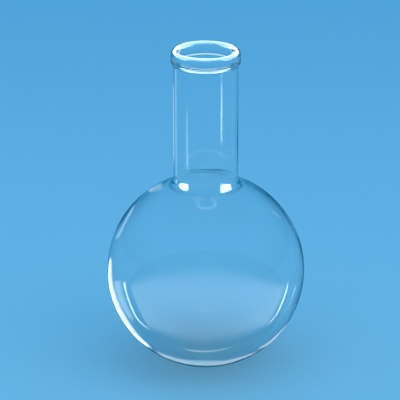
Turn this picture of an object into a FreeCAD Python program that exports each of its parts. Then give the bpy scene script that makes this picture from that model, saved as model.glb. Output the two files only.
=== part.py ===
import FreeCAD, Part
import math
import os

# Narrow-neck round bottom boiling flask with a beaded rim, nominal 500 ml, blown in
# borosilicate glass. Millimetres. +Z runs up the neck's axis, and the origin is the
# lowest point of the bulb, on that axis.
#
# The real flask is one continuous piece of glass, worked in four stages, and each
# stage is one solid here: the blown bulb, the shoulder seal where the neck is fused
# on, the neck tube, and the rim that is upset and fire-polished into a bead. Every
# zone is a ring of glass turned about the axis, and it meets the next one face to face.

# ---- driving dimensions -------------------------------------------------------------
HEIGHT = 175.0              # bottom of the bulb to the top of the rim

BULB_OD = 105.0             # sphere, outside
BULB_WALL = 1.6             # at the sphere's widest
CAVITY_LIFT = 0.3           # centre of the hollow above centre of the sphere: a thicker base

NECK_OD = 34.0
NECK_WALL = 1.8

SHOULDER_OUTER_R = 6.0      # sweep from bulb to neck, outside
SHOULDER_INNER_R = 5.0      # the same sweep on the inside, where the seal is thickest

BEAD_OVERHANG = 1.2         # the bead stands this far out from the neck
BEAD_SIDE = 3.8             # upright stretch of the bead's outside
BEAD_UNDERSIDE = 2.6        # height over which the bead runs out into the neck

THROAT_INSET = 2.0          # the throat stands this far in from the neck's bore
THROAT_LAND = 2.0           # upright stretch of the throat, which a stopper seals on
THROAT_FLARE = 3.0          # height over which the throat opens into the bore

CREST_OUTER_R = 2.2         # rounding of the rim's top, outwards from its crest

# ---- sizes that follow from them ----------------------------------------------------
bulb_r = BULB_OD / 2
bulb_z = bulb_r
cavity_r = bulb_r - BULB_WALL
cavity_z = bulb_z + CAVITY_LIFT

neck_r = NECK_OD / 2
bore_r = neck_r - NECK_WALL

bead_r = neck_r + BEAD_OVERHANG
throat_r = bore_r - THROAT_INSET
crest_r = bead_r - CREST_OUTER_R
crest_inner_r = crest_r - throat_r

bead_side_top = HEIGHT - CREST_OUTER_R
bead_side_bottom = bead_side_top - BEAD_SIDE
bead_bottom = bead_side_bottom - BEAD_UNDERSIDE

throat_top = HEIGHT - crest_inner_r
throat_bottom = throat_top - THROAT_LAND
flare_bottom = throat_bottom - THROAT_FLARE

rim_base_z = min(bead_bottom, flare_bottom)


def at(r, z):
    """The point at radius r and height z, in the half plane that is turned."""
    return FreeCAD.Vector(r, 0, z)


def line(start, end):
    return Part.LineSegment(start, end).toShape()


def arc(centre, radius, start_deg, end_deg):
    """An arc about centre, with its angles measured from the radial direction up."""
    points = []
    for degrees in (start_deg, (start_deg + end_deg) / 2, end_deg):
        angle = math.radians(degrees)
        points.append(centre + at(radius * math.cos(angle), radius * math.sin(angle)))
    return Part.Arc(*points).toShape()


def ogee(start, end):
    """Two equal arcs in an S, upright where they leave start and where they reach end."""
    step = end.x - start.x
    rise = end.z - start.z
    radius = (step ** 2 + rise ** 2) / (4 * abs(step))
    half_turn = math.atan2(abs(step), abs(rise))
    bow = at(
        math.copysign(radius * (1 - math.cos(half_turn)), step),
        math.copysign(radius * math.sin(half_turn), rise),
    )
    middle = (start + end) / 2
    return [
        Part.Arc(start, start + bow, middle).toShape(),
        Part.Arc(middle, end - bow, end).toShape(),
    ]


def turned(edges):
    """The closed outline of these edges, turned about the axis into a solid."""
    outline = Part.Wire(Part.__sortEdges__(edges))
    ring = Part.Face(outline).revolve(at(0, 0), at(0, 1), 360)
    return ring if ring.ShapeType == "Solid" else Part.Solid(ring.Shells[0])


def fillet_centre(sphere_z, sphere_r, tube_r, radius):
    """Centre of the sweep that touches both the sphere and the tube standing on it."""
    out = tube_r + radius
    up = math.sqrt((sphere_r + radius) ** 2 - out ** 2)
    return at(out, sphere_z + up)


def seal_angle(centre, sphere_z):
    """How far round the sphere, from its widest, the sweep about centre touches it."""
    return math.degrees(math.atan2(centre.z - sphere_z, centre.x))


def on_sphere(sphere_z, sphere_r, degrees):
    angle = math.radians(degrees)
    return at(sphere_r * math.cos(angle), sphere_z + sphere_r * math.sin(angle))


outer_sweep = fillet_centre(bulb_z, bulb_r, neck_r, SHOULDER_OUTER_R)
inner_sweep = fillet_centre(cavity_z, cavity_r, bore_r, SHOULDER_INNER_R)
outer_seal_deg = seal_angle(outer_sweep, bulb_z)
inner_seal_deg = seal_angle(inner_sweep, cavity_z)
outer_seal = on_sphere(bulb_z, bulb_r, outer_seal_deg)
inner_seal = on_sphere(cavity_z, cavity_r, inner_seal_deg)
shoulder_top_z = max(outer_sweep.z, inner_sweep.z)


def make_bulb():
    """Blown sphere, open at the top, up to where the shoulder's sweep begins."""
    return turned([
        arc(at(0, bulb_z), bulb_r, -90, outer_seal_deg),
        line(outer_seal, inner_seal),
        arc(at(0, cavity_z), cavity_r, inner_seal_deg, -90),
        line(at(0, cavity_z - cavity_r), at(0, 0)),
    ])


def make_shoulder():
    """Flared ring of glass between the bulb and the neck, thickest in its corner."""
    edges = [
        arc(outer_sweep, SHOULDER_OUTER_R, outer_seal_deg + 180, 180),
        line(at(neck_r, shoulder_top_z), at(bore_r, shoulder_top_z)),
        arc(inner_sweep, SHOULDER_INNER_R, 180, inner_seal_deg + 180),
        line(inner_seal, outer_seal),
    ]
    for r, sweep in ((neck_r, outer_sweep), (bore_r, inner_sweep)):
        if shoulder_top_z > sweep.z:
            edges.append(line(at(r, sweep.z), at(r, shoulder_top_z)))
    return turned(edges)


def make_neck():
    """Plain drawn tube."""
    return turned([
        line(at(neck_r, shoulder_top_z), at(neck_r, rim_base_z)),
        line(at(neck_r, rim_base_z), at(bore_r, rim_base_z)),
        line(at(bore_r, rim_base_z), at(bore_r, shoulder_top_z)),
        line(at(bore_r, shoulder_top_z), at(neck_r, shoulder_top_z)),
    ])


def make_rim_bead():
    """Thick rounded rim, proud of the neck outside and drawn in to a throat inside."""
    edges = ogee(at(neck_r, bead_bottom), at(bead_r, bead_side_bottom))
    edges += ogee(at(throat_r, throat_bottom), at(bore_r, flare_bottom))
    edges += [
        line(at(bead_r, bead_side_bottom), at(bead_r, bead_side_top)),
        arc(at(crest_r, bead_side_top), CREST_OUTER_R, 0, 90),
        arc(at(crest_r, throat_top), crest_inner_r, 90, 180),
        line(at(throat_r, throat_top), at(throat_r, throat_bottom)),
        line(at(neck_r, rim_base_z), at(bore_r, rim_base_z)),
    ]
    for r, upper in ((neck_r, bead_bottom), (bore_r, flare_bottom)):
        if upper > rim_base_z:
            edges.append(line(at(r, upper), at(r, rim_base_z)))
    return turned(edges)


os.makedirs("parts", exist_ok=True)
ZONES = {
    "bulb": make_bulb(),
    "shoulder": make_shoulder(),
    "neck": make_neck(),
    "rim_bead": make_rim_bead(),
}
for name, zone in ZONES.items():
    zone.exportStep(f"parts/{name}.step")
    print(f"{name:10s} {zone.Volume / 1000:7.2f} ml of glass, valid: {zone.isValid()}")
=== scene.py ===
# %% [markdown]
# # A round bottom flask, built round a CAD frame
#
# This lesson builds the glass of a laboratory flask. The CAD model already holds its shape
# and its real size, as four plain solids: the bulb, the shoulder, the neck and the rim bead.
# Here they become four pieces of fine, slightly uneven glass that fit together so closely
# that light can't tell where one ends and the next begins.
#
# Everything is in metres, +Z runs up the neck, and the bulb's lowest point is the origin.

# %% Load the frame
import math

import bpy
import numpy as np
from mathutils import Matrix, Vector, noise


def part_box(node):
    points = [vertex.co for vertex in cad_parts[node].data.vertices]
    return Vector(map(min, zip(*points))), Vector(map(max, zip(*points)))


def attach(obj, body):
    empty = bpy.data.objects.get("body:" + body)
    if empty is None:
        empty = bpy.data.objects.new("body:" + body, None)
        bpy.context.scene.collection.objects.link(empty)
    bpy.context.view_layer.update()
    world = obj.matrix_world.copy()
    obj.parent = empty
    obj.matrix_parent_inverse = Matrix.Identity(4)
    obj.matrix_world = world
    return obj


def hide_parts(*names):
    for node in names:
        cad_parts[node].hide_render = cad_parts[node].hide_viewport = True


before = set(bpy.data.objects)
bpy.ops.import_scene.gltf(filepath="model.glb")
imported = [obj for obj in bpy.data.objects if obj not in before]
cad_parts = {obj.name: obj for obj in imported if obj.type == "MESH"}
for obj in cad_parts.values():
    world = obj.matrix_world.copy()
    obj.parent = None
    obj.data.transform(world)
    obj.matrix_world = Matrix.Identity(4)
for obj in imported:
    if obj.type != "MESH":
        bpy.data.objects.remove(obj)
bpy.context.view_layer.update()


def mm(length):
    """A length in metres, as text in millimetres."""
    return f"{length * 1000:.2f} mm"


# %% [markdown]
# ## Reading the sizes off the frame
#
# Each CAD solid was turned about the axis, so every one of its points lies on its outline.
# The distance of a point from the axis and its height are all that matter. The helpers
# below pick out the few places that fix the outline: where a wall stands upright, how far
# in and out it goes, and where one zone ends. No size is typed in by hand, so if the CAD
# model changes, this file follows it.

# %% Outline points of a CAD node
TOUCH = 2e-6          # two sizes closer than this are the same size


def outline_of(node):
    """Every (radius, height) that the node's points have."""
    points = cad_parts[node].data.vertices
    return [(math.hypot(point.co.x, point.co.y), point.co.z) for point in points]


def radii_of(node):
    """The smallest and the largest distance from the axis."""
    radii = [radius for radius, _ in outline_of(node)]
    return min(radii), max(radii)


def upright(node, radius):
    """The lowest and highest point of the node's wall at this radius."""
    heights = [z for r, z in outline_of(node) if abs(r - radius) < TOUCH]
    return min(heights), max(heights)


bore_r, neck_r = radii_of("neck")
throat_r, bead_r = radii_of("rim_bead")
rim_base_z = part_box("rim_bead")[0].z
top_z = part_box("rim_bead")[1].z
shoulder_top_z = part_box("neck")[0].z
print(f"neck {mm(2 * neck_r)}, bore {mm(2 * bore_r)}, bead {mm(2 * bead_r)}")

# %% [markdown]
# The bulb is a sphere outside and a slightly smaller sphere inside, and the inner one sits
# a little higher, which leaves the base thicker, as in a real blown flask. A sphere that
# stands on the axis is fixed by its lowest point and any one point of its upper edge:
# the radius follows from Pythagoras.

# %% The two spheres and the two sweeps of the shoulder
def sphere_through(base_z, edge):
    """Radius of the sphere about the axis with this lowest point and this point on it."""
    radius, rise = edge[0], edge[1] - base_z
    return (radius ** 2 + rise ** 2) / (2 * rise)


def sweep_radius(wall_r, level_z, edge):
    """Radius of the arc that leaves an upright wall at level_z and passes through edge."""
    out, drop = edge[0] - wall_r, level_z - edge[1]
    return (out ** 2 + drop ** 2) / (2 * out)


shoulder = outline_of("shoulder")
outer_edge = max(shoulder)
inner_edge = min(shoulder, key=lambda point: point[1])
base_wall = min(z for r, z in outline_of("bulb") if r < TOUCH and z > TOUCH)

bulb_r = sphere_through(0.0, outer_edge)
cavity_r = sphere_through(base_wall, inner_edge)
outer_sweep_z = upright("shoulder", neck_r)[0]
inner_sweep_z = upright("shoulder", bore_r)[0]
outer_sweep_r = sweep_radius(neck_r, outer_sweep_z, outer_edge)
inner_sweep_r = sweep_radius(bore_r, inner_sweep_z, inner_edge)
print(f"bulb {mm(2 * bulb_r)}, hollow {mm(2 * cavity_r)}, base {mm(base_wall)}")
print(f"shoulder sweeps {mm(outer_sweep_r)} and {mm(inner_sweep_r)}")

# %% [markdown]
# ## Drawing the outline
#
# Glass is unforgiving: each facet shows as a kink in the reflections. So the outline is made
# of true arcs, with a point every degree or so. Three kinds of stretch are enough: an arc, an
# upright wall, and the S-bend by which a bead or a throat swells out of a tube.

# %% Arcs and S-bends
def steps(low, high, count):
    """count equal steps from low to high, both ends included."""
    return [low + (high - low) * i / count for i in range(count + 1)]


def arc(centre, radius, start_deg, end_deg, count):
    """Points of an arc, its angles measured from the radial direction up."""
    angles = [math.radians(value) for value in steps(start_deg, end_deg, count)]
    return [(centre[0] + radius * math.cos(a), centre[1] + radius * math.sin(a)) for a in angles]


def upright_run(radius, start_z, end_z, count):
    return [(radius, z) for z in steps(start_z, end_z, count)]


def s_bend(start, end, count):
    """Two equal arcs in an S, upright where they leave start and where they reach end."""
    step, rise = end[0] - start[0], end[1] - start[1]
    radius = (step ** 2 + rise ** 2) / (4 * abs(step))
    turn = 2 * math.atan2(abs(step), abs(rise))
    side, way = math.copysign(1, step), math.copysign(1, rise)
    first = []
    for angle in steps(0, turn, count // 2):
        bow = radius * (1 - math.cos(angle))
        first.append((start[0] + side * bow, start[1] + way * radius * math.sin(angle)))
    second = [(start[0] + end[0] - r, start[1] + end[1] - z) for r, z in reversed(first)]
    return first + second[1:]


quarter = arc((0, 0), 1, 0, 90, 2)
print("a quarter circle in two steps:", [(round(r, 2), round(z, 2)) for r, z in quarter])

# %% [markdown]
# The outside is drawn from the base up to the crest of the rim, and the inside from the
# crest down to the base again. Each stretch keeps the name of the zone that it belongs to.
# The rim bead was made by letting the end of the tube sink into itself in a flame, which
# leaves it thick and round on top, with a throat a little narrower than the bore.

# %% The outside and the inside
SPHERE_STEPS = 116           # along the bulb, a little over a degree each
SWEEP_STEPS = 20             # along each curve of the shoulder
TUBE_STEPS = 48              # up the neck
BEAD_STEPS = 20              # from the neck out to the side of the bead
FLARE_STEPS = 24             # from the throat out to the bore
CREST_STEPS = 24             # a quarter turn over the rim
SIDE_STEPS, LAND_STEPS = 10, 6
BORE_HEAD_STEPS, BORE_FOOT_STEPS = 3, 4

bead_side = upright("rim_bead", bead_r)
throat_land = upright("rim_bead", throat_r)
bead_foot_z = upright("rim_bead", neck_r)[1]
flare_foot_z = upright("rim_bead", bore_r)[1]
crest_outer_r = top_z - bead_side[1]
crest_r = bead_r - crest_outer_r
crest_inner_r = crest_r - throat_r

outer_seal_deg = math.degrees(math.atan2(outer_edge[1] - bulb_r, outer_edge[0]))
cavity_z = base_wall + cavity_r
inner_seal_deg = math.degrees(math.atan2(inner_edge[1] - cavity_z, inner_edge[0]))
outer_sweep = (neck_r + outer_sweep_r, outer_sweep_z)
inner_sweep = (bore_r + inner_sweep_r, inner_sweep_z)

outside = [
    ("bulb", arc((0, bulb_r), bulb_r, -90, outer_seal_deg, SPHERE_STEPS)),
    ("shoulder", arc(outer_sweep, outer_sweep_r, outer_seal_deg + 180, 180, SWEEP_STEPS)),
    ("neck", upright_run(neck_r, shoulder_top_z, rim_base_z, TUBE_STEPS)),
    ("rim_bead", s_bend((neck_r, bead_foot_z), (bead_r, bead_side[0]), BEAD_STEPS)),
    ("rim_bead", upright_run(bead_r, bead_side[0], bead_side[1], SIDE_STEPS)),
    ("rim_bead", arc((crest_r, bead_side[1]), crest_outer_r, 0, 90, CREST_STEPS)),
]
inside = [
    ("rim_bead", arc((crest_r, throat_land[1]), crest_inner_r, 90, 180, CREST_STEPS)),
    ("rim_bead", upright_run(throat_r, throat_land[1], throat_land[0], LAND_STEPS)),
    ("rim_bead", s_bend((throat_r, throat_land[0]), (bore_r, flare_foot_z), FLARE_STEPS)),
    ("rim_bead", upright_run(bore_r, flare_foot_z, rim_base_z, BORE_HEAD_STEPS)),
    ("neck", upright_run(bore_r, rim_base_z, shoulder_top_z, TUBE_STEPS)),
    ("shoulder", upright_run(bore_r, shoulder_top_z, inner_sweep_z, BORE_FOOT_STEPS)),
    ("shoulder", arc(inner_sweep, inner_sweep_r, 180, inner_seal_deg + 180, SWEEP_STEPS)),
    ("bulb", arc((0, cavity_z), cavity_r, inner_seal_deg, -90, SPHERE_STEPS)),
]
print("stretches of outline:", len(outside), "outside and", len(inside), "inside")

# %% [markdown]
# ## Glass that a hand has worked
#
# A turned shape that is perfectly round looks like a computer drawing. Real blown glass is
# round to a tenth of a millimetre or so: the wall wanders in thickness, a tube drawn from
# the furnace keeps faint lines along its length, and a rim softened in a flame settles in
# gentle waves. These errors are far too small to see as shape, but they bend every
# reflection a little, and that is how the eye knows that it is looking at glass.
#
# Each effect is a smooth field in space, so it runs through from one zone to the next.

# %% How far the glass strays from the true outline
OUTER_WANDER = 0.00005       # the outside follows its mould closely
INNER_WANDER = 0.00016       # nothing but air pressure shaped the inside
WANDER_SIZE = 0.030          # from one thick place to the next, along the wall
DRAW_LINE_DEPTH = 0.000012   # grooves that the drawn tube keeps
DRAW_LINES_ROUND = 9.0
RIM_WAVE = 0.00012
RIM_WAVES_ROUND = 1.6
OUTSIDE_SEED, INSIDE_SEED = 3.1, 17.7


def smooth_between(value, low, high):
    """0 below low, 1 above high, and a smooth rise between them."""
    share = min(max((value - low) / (high - low), 0.0), 1.0)
    return share * share * (3 - 2 * share)


def wander(point, size, seed):
    """Smooth noise from about -1 to 1, with hills about size across."""
    return noise.noise(point / size + Vector((seed, 2 * seed, -seed)))


def around(point, waves, seed):
    """Noise that changes only with the direction from the axis."""
    angle = math.atan2(point.y, point.x)
    ring = Vector((math.cos(angle), math.sin(angle), 0.0)) * waves
    return noise.noise(ring + Vector((0.0, 0.0, seed)))


def stray(point, is_outside):
    """Distance that the glass stands off its true outline here."""
    seed = OUTSIDE_SEED if is_outside else INSIDE_SEED
    depth = OUTER_WANDER if is_outside else INNER_WANDER
    off = depth * wander(point, WANDER_SIZE, seed)
    in_neck = smooth_between(point.z, shoulder_top_z - neck_r, shoulder_top_z)
    off += in_neck * DRAW_LINE_DEPTH * around(point, DRAW_LINES_ROUND, seed)
    in_rim = smooth_between(point.z, rim_base_z, top_z)
    off += in_rim * RIM_WAVE * around(point, RIM_WAVES_ROUND, seed + point.z / bead_r)
    return off


print(f"wall wanders by {mm(INNER_WANDER)}, rim by {mm(RIM_WAVE)}")

# %% [markdown]
# ## Turning the whole skin at once
#
# The outline is turned about the axis like clay on a wheel. Doing it for the whole flask at
# once, and cutting the zones out afterwards, has one great advantage: the surface normals
# are worked out across the zone boundaries, so the shading has no step there.
#
# First the stretches are joined into rows, one for each ring to come, and each row gets the
# direction that faces out of the glass.

# %% One row for each ring
def joined(stretches, is_outside):
    """One row per ring: radius, height, zone of the faces after it, and the side it is on."""
    rows = []
    for zone, points in stretches:
        for radius, z in points:
            meets_last = rows and math.hypot(rows[-1][0] - radius, rows[-1][1] - z) < TOUCH
            if meets_last:
                rows[-1] = (*rows[-1][:2], zone, is_outside)
            else:
                rows.append((radius, z, zone, is_outside))
    return rows


def side_normals(outline):
    """Unit normals of the outline, which point out of the glass."""
    normals = []
    last = len(outline) - 1
    for index in range(len(outline)):
        before, after = outline[max(index - 1, 0)], outline[min(index + 1, last)]
        along = Vector((after[0] - before[0], after[1] - before[1]))
        normals.append(Vector((along.y, -along.x)).normalized())
    normals[0], normals[-1] = Vector((0, -1)), Vector((0, 1))
    return normals


outer_rows = joined(outside, True)
inner_rows = joined(inside, False)
rows = outer_rows + inner_rows[1:]
print("rings:", len(outer_rows), "outside and", len(inner_rows) - 1, "inside")

# %% [markdown]
# Now each row is swept round. On the axis a ring shrinks to a single point, and the faces
# beside it become triangles.

# %% Turn the rows into one skin
AROUND = 288                 # points in one ring: a facet is 1.25 degrees


def turn(outline):
    """Points, and the first point and size of each ring, of the turned outline."""
    points, rings = [], []
    for (radius, z, _, is_outside), normal in zip(outline, side_normals(outline)):
        count = 1 if radius < TOUCH else AROUND
        rings.append((len(points), count))
        for step in range(count):
            angle = 2 * math.pi * step / AROUND
            out = Vector((math.cos(angle), math.sin(angle), 0.0))
            true_place = out * radius + Vector((0.0, 0.0, z))
            push = out * normal.x + Vector((0.0, 0.0, normal.y))
            if count == 1:
                push = Vector((0.0, 0.0, normal.y))
            points.append(true_place + push * stray(true_place, is_outside))
    return points, rings


def faces_between(lower, upper):
    """Faces of the band between two rings, wound so that they look out of the glass."""
    (a, a_count), (b, b_count) = lower, upper
    faces = []
    for step in range(AROUND):
        after = (step + 1) % AROUND
        if a_count == 1:
            faces.append((a, b + after, b + step))
        elif b_count == 1:
            faces.append((a + step, a + after, b))
        else:
            faces.append((a + step, a + after, b + after, b + step))
    return faces


points, rings = turn(rows)
bands = [faces_between(lower, upper) for lower, upper in zip(rings, rings[1:])]
skin = bpy.data.meshes.new("whole_skin")
skin.from_pydata(points, [], [face for band in bands for face in band])
skin.update()
skin_normals = [normal.vector.copy() for normal in skin.vertex_normals]
print("skin:", len(points), "points,", len(skin.polygons), "faces")

# %% [markdown]
# ## Cutting the skin into four closed pieces
#
# Each zone takes its bands of the skin, inside and outside. Where it meets the next zone it
# is closed by a flat ring, the fused joint, so that every piece is a solid that holds water
# if it is exported on its own. On the real flask there is no surface there at all, because
# the glass has melted together, so the joint faces get a finish that lets light straight
# through. The normals of the whole skin are handed on to each piece.

# %% Make one closed piece for each zone
JOINT = 1                    # material slot of the joint faces; slot 0 is the glass


def seam_after(zone):
    """Numbers of the outer and the inner ring where this zone ends and the one above begins."""
    outer = [i for i, row in enumerate(rows) if row[2] == zone and row[3]]
    inner = [i for i, row in enumerate(rows) if row[2] == zone and not row[3]]
    return outer[-1] + 1, inner[0]


def zone_piece(name, zone, seam_below, seam_above):
    """A closed mesh of the zone's bands, with a ring face at each seam."""
    faces = [face for i, band in enumerate(bands) if rows[i][2] == zone for face in band]
    joints = []
    if seam_below:
        joints += faces_between(rings[seam_below[1]], rings[seam_below[0]])
    if seam_above:
        joints += faces_between(rings[seam_above[0]], rings[seam_above[1]])
    used = sorted({corner for face in faces for corner in face})
    place = {corner: index for index, corner in enumerate(used)}
    mesh = bpy.data.meshes.new(name)
    here = [[place[corner] for corner in face] for face in faces + joints]
    mesh.from_pydata([points[corner] for corner in used], [], here)
    mesh.shade_smooth()
    corner_normals = []
    for polygon in mesh.polygons:
        if polygon.index < len(faces):
            corner_normals += [skin_normals[used[index]] for index in polygon.vertices]
        else:
            polygon.material_index = JOINT
            corner_normals += [polygon.normal.copy()] * len(polygon.vertices)
    mesh.normals_split_custom_set(corner_normals)
    piece = bpy.data.objects.new(name, mesh)
    bpy.context.scene.collection.objects.link(piece)
    print(f"{name}: {len(faces)} faces of glass, {len(joints) // AROUND} fused joint(s)")
    return piece


seams = [None] + [seam_after(zone) for zone in ("bulb", "shoulder", "neck")] + [None]
pieces = {}
for index, zone in enumerate(("bulb", "shoulder", "neck", "rim_bead")):
    name = "glass_" + zone
    pieces[zone] = zone_piece(name, zone, seams[index], seams[index + 1])
bpy.data.meshes.remove(skin)

# %% [markdown]
# ## The glass itself
#
# Laboratory glass is borosilicate: clear, with the faintest cool tint, and an index of
# refraction of 1.473, a little below window glass. A Principled shader with full
# transmission does the bending and the mirroring. The light has two jobs here, so all the
# character comes from how smooth the surface is, and each zone was worked differently:
#
# - the bulb was blown in a wooden mould, wetted so that steam kept the glass off it, which
#   leaves broad, shallow unevenness
# - the shoulder was turned in a flame to seal neck to bulb, and carries finer rings
# - the neck is drawn tube, with long faint streaks up and down
# - the rim was softened until it flowed, so it is the smoothest of all
#
# A bump of a hundredth of a millimetre is plenty, because glass shows it twice: once in the
# mirror image and once in the view through it.

# %% Nodes for worked glass
GLASS_IOR = 1.473
GLASS_TINT = (0.985, 0.996, 0.994, 1.0)
NOISE_LOW, NOISE_HIGH = 0.35, 0.65     # nearly all of a noise field lies between these
BLOOM_PER_METRE = 45.0                 # patches of slightly duller surface
EVEN = (1.0, 1.0, 1.0)                 # not stretched along any axis


def new_material(name):
    """A material, its node tree, and the shader that a new material comes with."""
    material = bpy.data.materials.new(name)
    material.use_nodes = True
    tree = material.node_tree
    shader = tree.nodes["Principled BSDF"]
    return material, tree, shader


def unevenness(tree, stretch, hills_per_metre, detail):
    """A noise field in the flask's own space, stretched by three numbers along X, Y and Z."""
    place = tree.nodes.new("ShaderNodeTexCoord")
    mapping = tree.nodes.new("ShaderNodeMapping")
    mapping.inputs["Scale"].default_value = stretch
    field = tree.nodes.new("ShaderNodeTexNoise")
    field.inputs["Scale"].default_value = hills_per_metre
    field.inputs["Detail"].default_value = detail
    tree.links.new(place.outputs["Object"], mapping.inputs["Vector"])
    tree.links.new(mapping.outputs["Vector"], field.inputs["Vector"])
    return field


def worked_glass(name, stretch, hills_per_metre, depth, smoothest, dullest):
    """Clear glass whose bump and roughness follow the way it was worked."""
    material, tree, shader = new_material(name)
    shader.inputs["Base Color"].default_value = GLASS_TINT
    shader.inputs["Transmission Weight"].default_value = 1.0
    shader.inputs["IOR"].default_value = GLASS_IOR
    hills = unevenness(tree, stretch, hills_per_metre, 1.0)
    bump = tree.nodes.new("ShaderNodeBump")
    bump.inputs["Strength"].default_value = 1.0
    bump.inputs["Distance"].default_value = depth
    tree.links.new(hills.outputs["Fac"], bump.inputs["Height"])
    tree.links.new(bump.outputs["Normal"], shader.inputs["Normal"])
    bloom = unevenness(tree, EVEN, BLOOM_PER_METRE, 3.0)
    spread = tree.nodes.new("ShaderNodeMapRange")
    spread.inputs["From Min"].default_value = NOISE_LOW
    spread.inputs["From Max"].default_value = NOISE_HIGH
    spread.inputs["To Min"].default_value = smoothest
    spread.inputs["To Max"].default_value = dullest
    tree.links.new(bloom.outputs["Fac"], spread.inputs["Value"])
    tree.links.new(spread.outputs["Result"], shader.inputs["Roughness"])
    return material


finishes = {
    "bulb": worked_glass("blown_glass", EVEN, hills_per_metre=55.0, depth=0.000014,
                         smoothest=0.002, dullest=0.014),
    "shoulder": worked_glass("seal_glass", (1.0, 1.0, 4.0), hills_per_metre=70.0, depth=0.000012,
                             smoothest=0.004, dullest=0.016),
    "neck": worked_glass("drawn_glass", (1.0, 1.0, 0.08), hills_per_metre=220.0, depth=0.000006,
                         smoothest=0.002, dullest=0.012),
    "rim_bead": worked_glass("fire_polished_glass", EVEN, hills_per_metre=90.0, depth=0.000008,
                             smoothest=0.001, dullest=0.006),
}
print("finishes:", ", ".join(material.name for material in finishes.values()))

# %% [markdown]
# The fused joint is the opposite of a finish. Inside the wall there is nothing to see, so
# its alpha is zero and light goes on as if the face weren't there.

# %% The fused joint, and handing out the finishes
fused_joint, _, joint_shader = new_material("fused_joint")
joint_shader.inputs["Base Color"].default_value = GLASS_TINT
joint_shader.inputs["Alpha"].default_value = 0.0

for zone, piece in pieces.items():
    piece.data.materials.append(finishes[zone])
    if len(piece.data.materials) == JOINT:
        piece.data.materials.append(fused_joint)
    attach(piece, "root")
    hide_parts(zone)

# %% [markdown]
# ## The camera
#
# A long lens from well above the table: the mouth opens into an oval, and the neck still
# stands almost parallel. The camera comes before the lights, because what glass shows
# depends on where it is seen from, so the lights are set out round this view.

# %% The camera
VIEW_DISTANCE = 1.35
VIEW_ELEVATION = 22.0
AIM_HEIGHT = 0.0919
LENS_MM, SENSOR_MM = 227.1, 36.0
SIDE_SHIFT = -0.0145
BULB_CENTRE = Vector((0.0, 0.0, bulb_r))


def towards(azimuth, elevation):
    """The direction at this azimuth, in degrees from the viewer to the right, and elevation."""
    a, e = math.radians(azimuth), math.radians(elevation)
    return Vector((math.sin(a) * math.cos(e), -math.cos(a) * math.cos(e), math.sin(e)))


scene = bpy.context.scene
camera = bpy.data.objects.new("camera", bpy.data.cameras.new("camera"))
scene.collection.objects.link(camera)
scene.camera = camera
camera.data.lens = LENS_MM
camera.data.sensor_width = SENSOR_MM
camera.data.shift_x = SIDE_SHIFT
camera.location = BULB_CENTRE + towards(0, VIEW_ELEVATION) * VIEW_DISTANCE
aim = Vector((0.0, 0.0, AIM_HEIGHT)) - camera.location
camera.rotation_euler = aim.to_track_quat("-Z", "Y").to_euler()
print("camera at", [round(value, 3) for value in camera.location])

# %% [markdown]
# ## The table
#
# A pale, matt board, big enough that its edge never comes near the flask. It has the faint
# mottle of painted wood. Glass shows its surroundings, and a board that close would fill
# the whole lower half of every reflection, so it is hidden from mirror rays, and the studio
# further down is seen instead.

# %% The table
TABLE_HALF = 4.0
TABLE_COLOUR = (0.42, 0.80, 0.95, 1.0)
TABLE_MOTTLE = (0.41, 0.785, 0.935, 1.0)
MOTTLE_PER_METRE = 9.0


def stage_object(name, places, faces, material):
    """A mesh of the studio, which isn't part of the flask."""
    mesh = bpy.data.meshes.new(name)
    mesh.from_pydata(places, [], faces)
    mesh.materials.append(material)
    thing = bpy.data.objects.new(name, mesh)
    scene.collection.objects.link(thing)
    return thing


def blended(tree, colour_a, colour_b, share):
    """The output that goes from colour a to b; a may be a node's output itself."""
    mix = tree.nodes.new("ShaderNodeMix")
    mix.data_type = "RGBA"
    tree.links.new(share, mix.inputs["Factor"])
    mix.inputs["B"].default_value = colour_b
    if isinstance(colour_a, tuple):
        mix.inputs["A"].default_value = colour_a
    else:
        tree.links.new(colour_a, mix.inputs["A"])
    return mix.outputs["Result"]


board, tree, shader = new_material("pale_board")
mottle = unevenness(tree, EVEN, MOTTLE_PER_METRE, 4.0)
paint = blended(tree, TABLE_MOTTLE, TABLE_COLOUR, mottle.outputs["Fac"])
tree.links.new(paint, shader.inputs["Base Color"])
shader.inputs["Specular IOR Level"].default_value = 0.0
shader.inputs["Roughness"].default_value = 1.0

corners = [(-1, -1), (1, -1), (1, 1), (-1, 1)]
places = [(x * TABLE_HALF, y * TABLE_HALF, 0.0) for x, y in corners]
table = stage_object("table", places, [(0, 1, 2, 3)], board)
table.visible_glossy = False
print(f"table: {2 * TABLE_HALF:.0f} m square")

# %% [markdown]
# ## The room
#
# Overhead the room is a soft blue, which lights the table evenly. Lower down its walls are
# deeper, and that is what draws the edges of the glass: where a wall of the flask is seen
# edge-on, it shows the room at the side instead of the pale table behind, and turns darker.
# The walls are hung with broad upright bands, lighter and darker in turn. In front of a
# plain wall a clear tube seen level would have no edges at all.

# %% The room
BAND_DARK = (0.0, 0.10, 0.27, 1.0)
BAND_LIGHT = (0.02, 0.26, 0.50, 1.0)
OVERHEAD_COLOUR = (0.03, 0.32, 0.61, 1.0)
BANDS = 6                                  # of each kind, all the way round
WALLS_END, OVERHEAD_STARTS = 0.20, 0.45    # as the sine of the elevation

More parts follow.
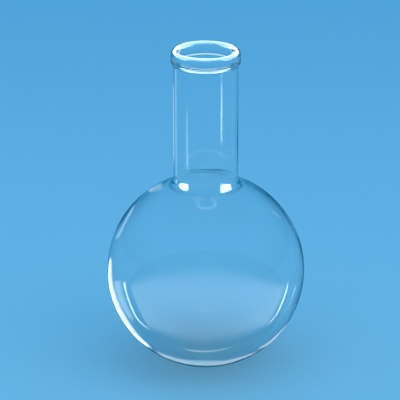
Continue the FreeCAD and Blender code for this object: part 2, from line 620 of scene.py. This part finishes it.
world = bpy.data.worlds.new("studio")
scene.world = world
world.use_nodes = True
tree = world.node_tree
direction = tree.nodes.new("ShaderNodeTexCoord").outputs["Generated"]
turn_share = tree.nodes.new("ShaderNodeTexGradient")
turn_share.gradient_type = "RADIAL"
count = tree.nodes.new("ShaderNodeMath")
count.operation = "MULTIPLY"
count.inputs[1].default_value = 2 * BANDS
wave = tree.nodes.new("ShaderNodeMath")
wave.operation = "PINGPONG"
wave.inputs[1].default_value = 1.0
axes = tree.nodes.new("ShaderNodeSeparateXYZ")
height = tree.nodes.new("ShaderNodeMapRange")
height.inputs["From Min"].default_value = WALLS_END
height.inputs["From Max"].default_value = OVERHEAD_STARTS
tree.links.new(direction, turn_share.inputs["Vector"])
tree.links.new(turn_share.outputs["Fac"], count.inputs[0])
tree.links.new(count.outputs["Value"], wave.inputs[0])
tree.links.new(direction, axes.inputs["Vector"])
tree.links.new(axes.outputs["Z"], height.inputs["Value"])
walls = blended(tree, BAND_DARK, BAND_LIGHT, wave.outputs["Value"])
surroundings = blended(tree, walls, OVERHEAD_COLOUR, height.outputs["Result"])
tree.links.new(surroundings, tree.nodes["Background"].inputs["Color"])
print("room: walls up to", round(math.degrees(math.asin(WALLS_END))), "degrees")

# %% [markdown]
# ## The soft light
#
# Three large softboxes light the table. Light goes through a thin flask almost unhindered,
# but Blender takes glass for solid when it works out a shadow. So only the one overhead
# casts a shadow, and that is enough to seat the flask on the table. The softboxes are
# hidden from the glass, which would show them as plain white windows.

# %% The softboxes
def softbox(name, azimuth, elevation, distance, width, power, shadow):
    """A square area light that faces the bulb, and that the glass doesn't see."""
    light = bpy.data.lights.new(name, "AREA")
    light.size = width
    light.energy = power
    light.use_shadow = shadow
    box = bpy.data.objects.new(name, light)
    scene.collection.objects.link(box)
    out = towards(azimuth, elevation)
    box.location = BULB_CENTRE + out * distance
    box.rotation_euler = out.to_track_quat("Z", "Y").to_euler()
    box.visible_glossy = box.visible_transmission = False
    print(f"{name}: {power} W, {width} m square")


for name, azimuth in (("left_softbox", -55), ("right_softbox", 55)):
    softbox(name, azimuth, elevation=42, distance=1.5, width=1.1, power=4.4, shadow=False)
softbox("top_softbox", 0, elevation=80, distance=2.4, width=2.0, power=4.0, shadow=True)

# %% [markdown]
# ## Lighting glass by its reflections
#
# In a studio, glass is lit by deciding where on it a highlight should sit, and then walking
# a white card round until it shows there. The same can be worked out: follow the line of
# sight to the spot on the glass, mirror it in the surface, and the card belongs somewhere
# along the line that leaves. Here a spot is given as degrees round from the viewer,
# positive to the right, and millimetres above the table. The outline that made the flask
# gives the surface there.

# %% From a spot on the glass to a place for a card
CARD_DISTANCE = 6.0
MM = 0.001

outer_radii = np.array([row[0] for row in outer_rows])
outer_heights = np.array([row[1] for row in outer_rows])
outer_facings = np.array(side_normals([row[:2] for row in outer_rows]))


def on_glass(azimuth, height_mm):
    """The point of the outside at this azimuth and height, and the direction it faces."""
    z = height_mm * MM
    radius = np.interp(z, outer_heights, outer_radii)
    outwards, upwards = (np.interp(z, outer_heights, outer_facings[:, i]) for i in (0, 1))
    side = towards(azimuth, 0.0)
    normal = (side * outwards + Vector((0.0, 0.0, upwards))).normalized()
    return side * radius + Vector((0.0, 0.0, z)), normal


def spot_of(point):
    """The other way round: the azimuth and height of a point."""
    return np.array([math.degrees(math.atan2(point.x, -point.y)), point.z / MM])


def card_place(azimuth, height_mm):
    """Where a card is seen when the glass is looked at in this spot."""
    point, normal = on_glass(azimuth, height_mm)
    sight = (point - camera.location).normalized()
    leaving = sight - 2 * sight.dot(normal) * normal
    return point + leaving * CARD_DISTANCE


place = card_place(0.0, 110.0)
print("the middle of the neck mirrors", [round(value, 1) for value in place])

# %% [markdown]
# Highlights on a round body are curved, so their edges are drawn as smooth curves through a
# few spots. The curve below passes through each of them and leaves no kink there.

# %% A smooth curve through a few spots
def smooth_path(spots, count):
    """count spots on a smooth curve through the given ones."""
    knots = [np.array(spot, float) for spot in spots]
    knots = [2 * knots[0] - knots[1]] + knots + [2 * knots[-1] - knots[-2]]
    path = []
    for along in np.linspace(0, len(spots) - 1, count):
        i = min(int(along), len(spots) - 2)
        t = along - i
        a, b, c, d = knots[i:i + 4]
        bend = (2 * a - 5 * b + 4 * c - d) * t ** 2 + (3 * b - a - 3 * c + d) * t ** 3
        path.append(0.5 * (2 * b + (c - a) * t + bend))
    return path


halfway = smooth_path([(0, 0), (1, 1), (2, 0)], 5)[1]
print("between a start and a top, the curve runs through", halfway.round(2))

# %% [markdown]
# One glowing material serves all the cards. How brightly a card glows, and how it fades
# towards its edges as a diffuser does, is kept in its mesh. The glow is added to a fully
# transparent surface, so that cards never hide one another.

# %% The glow
FADE = "card_glow"
GLOW_COLOUR = (0.88, 1.0, 1.0, 1.0)

card_light = bpy.data.materials.new("card_light")
card_light.use_nodes = True
card_light.cycles.emission_sampling = "NONE"
tree = card_light.node_tree
tree.nodes.clear()
glow = tree.nodes.new("ShaderNodeEmission")
glow.inputs["Color"].default_value = GLOW_COLOUR
fade = tree.nodes.new("ShaderNodeAttribute")
fade.attribute_name = FADE
see_through = tree.nodes.new("ShaderNodeBsdfTransparent")
added = tree.nodes.new("ShaderNodeAddShader")
shown = tree.nodes.new("ShaderNodeOutputMaterial")
tree.links.new(fade.outputs["Fac"], glow.inputs["Strength"])
tree.links.new(glow.outputs["Emission"], added.inputs[0])
tree.links.new(see_through.outputs["BSDF"], added.inputs[1])
tree.links.new(added.outputs["Shader"], shown.inputs["Surface"])
print("one glow for every card")

# %% [markdown]
# A card is a grid of places. Cycles lets each object choose which rays see it and which
# pieces it shines on, so a card is seen only by the glass of one zone, either as a mirror
# image or through that glass.

# %% A grid that glows
ALONG, ACROSS = 41, 13


def glowing_grid(name, places, glows, zone, mirrored=True):
    """A card from ALONG rows of ACROSS places; it is mirrored, or else seen through, by a zone."""
    quads = []
    for i in range(1, ALONG):
        for j in range(1, ACROSS):
            here = i * ACROSS + j
            quads.append((here - ACROSS - 1, here - 1, here, here - ACROSS))
    grid = stage_object(name, places, quads, card_light)
    grid.data.attributes.new(FADE, "FLOAT", "POINT").data.foreach_set("value", glows)
    grid.visible_camera = grid.visible_diffuse = False
    grid.visible_shadow = grid.visible_volume_scatter = False
    grid.visible_glossy, grid.visible_transmission = mirrored, not mirrored
    seen_by = bpy.data.collections.new(name + "_is_seen_by")
    seen_by.objects.link(pieces[zone])
    grid.light_linking.receiver_collection = seen_by
    print(f"{name}: glow {max(glows):.1f}, seen by the {zone}")


# %% [markdown]
# Two kinds of highlight are enough. A patch lies between two edges drawn on the glass. A
# strip follows one line, and its two edges are found by stepping sideways over the glass.

# %% Patches and strips
def fading(share, soft):
    """1 in the middle and 0 at both borders; soft is how much of the way is fade."""
    return smooth_between(min(share, 1 - share), 0.0, soft)


def patch(name, edge_a, edge_b, glow, soft_sides, soft_ends, zone):
    """A card whose mirror image lies between two edges drawn on the glass."""
    side_a, side_b = smooth_path(edge_a, ALONG), smooth_path(edge_b, ALONG)
    places, glows = [], []
    for i, end_share in enumerate(np.linspace(0, 1, ALONG)):
        for share in np.linspace(0, 1, ACROSS):
            places.append(card_place(*(side_a[i] * (1 - share) + side_b[i] * share)))
            glows.append(glow * fading(share, soft_sides) * fading(end_share, soft_ends))
    glowing_grid(name, places, glows, zone)


def strip(name, spots, widths_mm, glow, soft_sides, soft_ends, zone):
    """A card whose mirror image is a strip along the spots; its width changes on the way."""
    line = [on_glass(*spot) for spot in smooth_path(spots, ALONG)]
    shares = np.linspace(0, 1, ALONG)
    widths = np.interp(shares, np.linspace(0, 1, len(widths_mm)), widths_mm) * MM
    edge_a, edge_b = [], []
    for i, (point, normal) in enumerate(line):
        ahead, behind = line[min(i + 1, ALONG - 1)][0], line[max(i - 1, 0)][0]
        sideways = normal.cross((ahead - behind).normalized()) * widths[i] / 2
        edge_a.append(spot_of(point - sideways))
        edge_b.append(spot_of(point + sideways))
    patch(name, edge_a, edge_b, glow, soft_sides, soft_ends, zone)


print("a quarter of the way in, a card with half-wide fades glows at", fading(0.25, 0.5))

# %% [markdown]
# ## Highlights low on the bulb
#
# The lower half of the bulb mirrors a lit table top: a broad, pale window with a bright
# line at each side where the edges of the diffuser are. Nearer the outline the glass is
# seen at a grazing angle and mirrors strongly, so the crescent on the left needs much less
# light than the lines inside it, and comes out brighter.
#
# The spots are given to half a degree and half a millimetre. A card in a studio is nudged
# about no more finely than that.

# %% The window and its lines
patch("bulb_window",
      [(-51, 59), (-35, 67.5), (-16, 73), (0, 74.5), (12, 73.5), (27, 69), (55.5, 57)],
      [(-36.5, 34), (-26, 32), (-13, 29.5), (0, 28), (12, 29.5), (25, 32), (39.5, 35.5)],
      glow=2.2, soft_sides=0.2, soft_ends=0.02, zone="bulb")
strip("bulb_left_line",
      [(-55, 58), (-52.5, 52.5), (-49, 45.5), (-44.5, 38.5), (-36.5, 34)],
      (3.4, 2.6, 2.2, 1.8, 0.6), glow=11.0, soft_sides=0.5, soft_ends=0.08, zone="bulb")
strip("bulb_right_line",
      [(55.5, 57.5), (53, 52.5), (49, 46), (46, 41), (40, 36)],
      (1.2, 2.0, 1.8, 1.6, 0.6), glow=13.0, soft_sides=0.5, soft_ends=0.08, zone="bulb")
strip("bulb_right_echo",
      [(65, 53), (59.5, 45.5), (54.5, 38.5)],
      (4.0, 1.6, 0.6), glow=2.0, soft_sides=0.5, soft_ends=0.2, zone="bulb")
strip("bulb_smile",
      [(-18.5, 26), (-10.5, 24.5), (-0.5, 24), (11, 25), (22.5, 28)],
      (1.4, 2.4, 2.8, 2.4, 1.0), glow=3.4, soft_sides=0.5, soft_ends=0.3, zone="bulb")

# %% [markdown]
# The outline of the bulb is not lit evenly. The crescent fills the lower left, with a soft
# haze inside it, and a broad dim band runs under the base.

# %% Along the lower outline of the bulb
patch("bulb_left_crescent",
      [(-77.5, 64.5), (-72, 61.5), (-69, 56.5), (-65, 50.5), (-59.5, 44), (-54, 35), (-49, 27),
       (-43, 20.5)],
      [(-81, 63), (-82, 56), (-83, 47), (-80, 39.5), (-74.5, 31.5), (-66.5, 23.5), (-59, 18),
       (-46, 17)],
      glow=3.2, soft_sides=0.35, soft_ends=0.08, zone="bulb")
patch("bulb_left_haze",
      [(-68, 54.5), (-66, 49), (-60.5, 42), (-53, 34.5)],
      [(-57, 58.5), (-55, 53), (-51.5, 46), (-46, 36.5)],
      glow=1.6, soft_sides=0.3, soft_ends=0.1, zone="bulb")
patch("bulb_base_band",
      [(-44.5, 19), (-33.5, 17.5), (-16.5, 16.5), (-0.5, 17), (15.5, 16), (32.5, 16.5), (49, 18)],
      [(-49, 15.5), (-39, 12), (-21.5, 9.5), (-1, 8.5), (20, 9), (37.5, 12.5), (55, 15)],
      glow=1.2, soft_sides=0.3, soft_ends=0.15, zone="bulb")
patch("bulb_right_base_line",
      [(70.5, 29.5), (59, 26), (49, 22.5), (38, 20.5)],
      [(73, 28), (66.5, 23), (61, 17), (43, 16.5)],
      glow=1.2, soft_sides=0.4, soft_ends=0.2, zone="bulb")

# %% [markdown]
# Higher up only thin lines are left, and a haze where the bulb runs under the shoulder.

# %% Along the upper outline of the bulb
patch("bulb_upper_left_line",
      [(-85.5, 90.5), (-78, 85.5), (-74.5, 79), (-75, 73.5)],
      [(-95, 89), (-85, 84), (-81.5, 77), (-82.5, 71)],
      glow=1.3, soft_sides=0.4, soft_ends=0.2, zone="bulb")
patch("bulb_shoulder_haze",
      [(-108.5, 93.5), (-110.5, 96.5), (-111, 99.5)],
      [(-89.5, 96), (-78.5, 98.5), (-74, 100.5)],
      glow=0.8, soft_sides=0.3, soft_ends=0.2, zone="bulb")
strip("bulb_upper_stroke",
      [(70, 91.5), (73, 88.5), (76, 85.5)],
      (2.0, 3.4, 2.0), glow=0.9, soft_sides=0.5, soft_ends=0.2, zone="bulb")

# %% [markdown]
# ## Highlights of the shoulder and the neck
#
# The shoulder curves two ways, so it shrinks a whole softbox to a small bright pane, one on
# each side. The neck curves one way only, and draws the same light out into long lines.

# %% Panes and lines
patch("shoulder_left_pane",
      [(-54.5, 105), (-43, 106), (-30.5, 106)],
      [(-53, 103.5), (-43, 102.5), (-29.5, 102.5)],
      glow=24.0, soft_sides=0.1, soft_ends=0.08, zone="shoulder")
patch("shoulder_right_pane",
      [(26.5, 106), (38, 106), (49, 105)],
      [(23, 102), (37, 102), (50, 102.5)],
      glow=24.0, soft_sides=0.1, soft_ends=0.1, zone="shoulder")
strip("shoulder_left_spark",
      [(-66, 106), (-63, 104)],
      (1.6, 1.6), glow=7.0, soft_sides=0.4, soft_ends=0.3, zone="shoulder")
strip("neck_left_line",
      [(-81, 160), (-81, 136), (-81, 112)],
      (2.8, 4.0, 3.4), glow=1.3, soft_sides=0.5, soft_ends=0.12, zone="neck")
strip("neck_right_line",
      [(28.5, 164), (28.5, 145), (28.5, 124)],
      (1.2, 1.8, 1.2), glow=12.0, soft_sides=0.5, soft_ends=0.15, zone="neck")
strip("neck_faint_line",
      [(-36, 147), (-35, 130), (-34, 114)],
      (1.0, 2.4, 2.8), glow=5.0, soft_sides=0.6, soft_ends=0.2, zone="neck")

# %% [markdown]
# ## Light for the rim
#
# The rim is a ring of thick, rounded glass, and its crest faces every way, so it needs a
# whole sky rather than a card: bright overhead and behind for the mirror image that runs
# round the crest, and dimmer for what the thick glass gathers and sends out below. The low
# strip of sky straight behind is what lights the far edge of the throat.

# %% Sky for the rim
def sky(name, azimuths, elevations, glow, zone, mirrored):
    """A glowing part of the sky between two azimuths and two elevations."""
    places = [
        towards(azimuth, elevation) * CARD_DISTANCE
        for azimuth in np.linspace(*azimuths, ALONG)
        for elevation in np.linspace(*elevations, ACROSS)
    ]
    glowing_grid(name, places, [glow] * len(places), zone, mirrored)


sky("sky_behind", (70, 290), (15, 90), glow=9.0, zone="rim_bead", mirrored=True)
sky("sky_overhead", (-70, 70), (62, 90), glow=9.0, zone="rim_bead", mirrored=True)
sky("sky_gathered", (0, 360), (48, 90), glow=1.5, zone="rim_bead", mirrored=False)
sky("sky_low", (150, 210), (12, 19), glow=1.1, zone="rim_bead", mirrored=False)

# %% [markdown]
# ## A pool of light on the table
#
# The edges of a tube don't show what is straight behind them, but what is behind and to
# the side, up to forty degrees out. So a soft pool of light on the table, out of sight
# behind and to the left, draws the neck's left edge bright. Only light that has been
# through the neck meets it.

# %% The pool of light
POOL_LIFT = Vector((0.0, 0.0, 0.0005))     # clear of the table, so that the two never flicker
POOL_FADE = 0.3


def pool_of_light(name, azimuths, reach, glow, zone):
    """A glow on the table between two azimuths and two distances from the axis."""
    places, glows = [], []
    for along, azimuth in zip(np.linspace(0, 1, ALONG), np.linspace(*azimuths, ALONG)):
        for across, distance in zip(np.linspace(0, 1, ACROSS), np.linspace(*reach, ACROSS)):
            places.append(towards(azimuth, 0.0) * distance + POOL_LIFT)
            glows.append(glow * fading(along, POOL_FADE) * fading(across, POOL_FADE))
    glowing_grid(name, places, glows, zone, mirrored=False)


pool_of_light("left_pool", (-153, -135), (0.2, 0.7), glow=0.2, zone="neck")

# %% [markdown]
# ## Light that goes through many walls
#
# A ray that meets this flask crosses four glass surfaces at least, and many more near its
# edges. Blender gives up after twelve by default, which leaves black specks, so the limits
# are raised.

# %% Light paths and colour
WALLS_CROSSED = 32

scene.cycles.max_bounces = WALLS_CROSSED
scene.cycles.transmission_bounces = WALLS_CROSSED
scene.cycles.transparent_max_bounces = WALLS_CROSSED
scene.cycles.glossy_bounces = WALLS_CROSSED // 2
scene.view_settings.view_transform = "Standard"
print("a ray may cross", WALLS_CROSSED, "walls")
